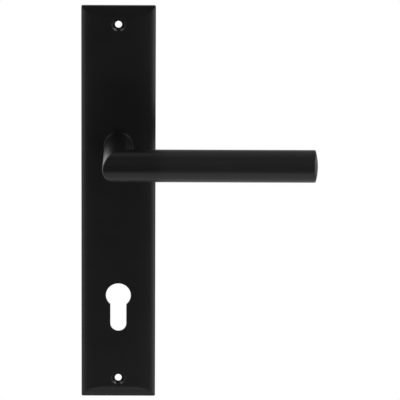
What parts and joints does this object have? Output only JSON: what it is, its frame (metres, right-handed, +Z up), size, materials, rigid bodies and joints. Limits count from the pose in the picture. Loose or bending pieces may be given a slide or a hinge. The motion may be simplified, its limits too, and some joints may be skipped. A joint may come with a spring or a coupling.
{
  "type": "lever handle on backplate",
  "caption": "Sprung round-bar lever handle on a long flat backplate with a keyhole for a profile cylinder, matt black.",
  "frame": {"origin": "on the spindle's axis, in the plane of the door's face that the support plate rests on", "axes": "+X the way the lever points, +Y into the door along the spindle, +Z up"},
  "size_m": [0.1646, 0.1213, 0.2864],
  "materials": {
    "black_powder_coat": "matt powder coat",
    "black_nylon": "moulded, fine texture",
    "cast_zinc": "as cast",
    "plated_steel": "zinc plated",
    "spring_steel": "blued",
    "dark_steel": "black oxide"
  },
  "bodies": {
    "backplate": {"cover_plate": "black_powder_coat", "neck_bush": "black_powder_coat", "support_plate": "black_nylon", "cassette_body": "cast_zinc", "cassette_cover": "plated_steel", "return_spring": "spring_steel", "cassette_screw_1": "plated_steel", "cassette_screw_2": "plated_steel", "cassette_screw_3": "plated_steel", "cassette_screw_4": "plated_steel", "plate_screw_1": "plated_steel", "plate_screw_2": "plated_steel", "plate_screw_3": "plated_steel", "plate_screw_4": "plated_steel", "plate_screw_5": "plated_steel", "plate_screw_6": "plated_steel"},
    "lever": {"lever_bar": "black_powder_coat", "end_plug": "black_powder_coat", "neck_core": "cast_zinc", "grub_screw": "dark_steel", "spindle": "plated_steel", "follower": "cast_zinc", "wave_washer": "spring_steel", "circlip": "spring_steel"}
  },
  "joints": [
    {"name": "lever_turn", "type": "hinge", "parent": "backplate", "child": "lever", "pos_m": [0, 0, 0], "axis": [0, 1, 0], "range_deg": [0, 45], "stiffness_Nm_per_rad": 1.1, "springref_deg": -34.38, "deforming": ["return_spring"]}
  ]
}
